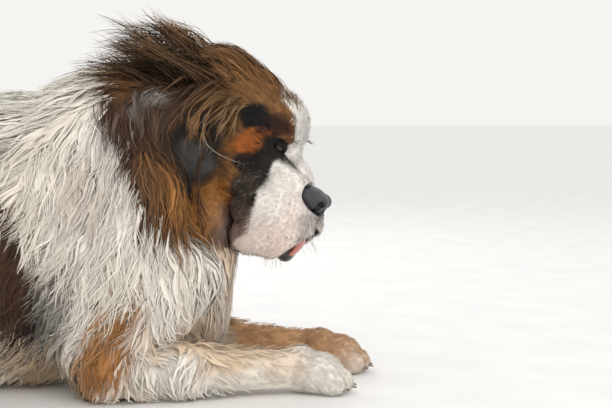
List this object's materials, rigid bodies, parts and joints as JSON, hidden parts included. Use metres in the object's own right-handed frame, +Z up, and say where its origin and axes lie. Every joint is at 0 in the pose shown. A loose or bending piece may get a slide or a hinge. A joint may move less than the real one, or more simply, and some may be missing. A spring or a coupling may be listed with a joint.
{
  "type": "saint bernard",
  "caption": "Long-haired Saint Bernard lying with its head up and forelegs stretched out, a still life-size model.",
  "frame": {"origin": "middle of the underside of the whole dog's box, on the floor", "axes": "+X towards the muzzle and forepaws, +Y to the dog's left, +Z up"},
  "size_m": [1.5288, 0.562, 0.706],
  "materials": {
    "claw_horn": "smooth horn",
    "coat_brown": "long soft hair, dark red brown",
    "coat_cream": "long soft hair, creamy white",
    "coat_orange": "soft hair, orange brown",
    "coat_white": "soft hair, white",
    "eyeball": "wet and glossy, dark brown",
    "lip_skin": "moist black grey skin",
    "nose_leather": "moist slate grey skin",
    "tongue_skin": "wet salmon red skin"
  },
  "bodies": {
    "root": {"head": "coat_orange", "left_ear": "coat_brown", "left_eye": "eyeball", "left_forearm": "coat_cream", "left_forepaw": "coat_white", "left_forepaw_claw_1": "claw_horn", "left_forepaw_claw_2": "claw_horn", "left_forepaw_claw_3": "claw_horn", "left_forepaw_claw_4": "claw_horn", "left_hind_foot": "coat_cream", "left_hind_paw": "coat_white", "left_hind_paw_claw_1": "claw_horn", "left_hind_paw_claw_2": "claw_horn", "left_hind_paw_claw_3": "claw_horn", "left_hind_paw_claw_4": "claw_horn", "left_thigh": "coat_brown", "left_upper_foreleg": "coat_cream", "lower_jaw": "lip_skin", "neck": "coat_cream", "nose": "nose_leather", "right_ear": "coat_brown", "right_eye": "eyeball", "right_forearm": "coat_cream", "right_forepaw": "coat_white", "right_forepaw_claw_1": "claw_horn", "right_forepaw_claw_2": "claw_horn", "right_forepaw_claw_3": "claw_horn", "right_forepaw_claw_4": "claw_horn", "right_hind_foot": "coat_cream", "right_hind_paw": "coat_white", "right_hind_paw_claw_1": "claw_horn", "right_hind_paw_claw_2": "claw_horn", "right_hind_paw_claw_3": "claw_horn", "right_hind_paw_claw_4": "claw_horn", "right_thigh": "coat_brown", "right_upper_foreleg": "coat_cream", "tail_base": "coat_brown", "tail_middle": "coat_brown", "tail_tip": "coat_white", "tongue": "tongue_skin", "torso": "coat_brown"}
  },
  "joints": []
}
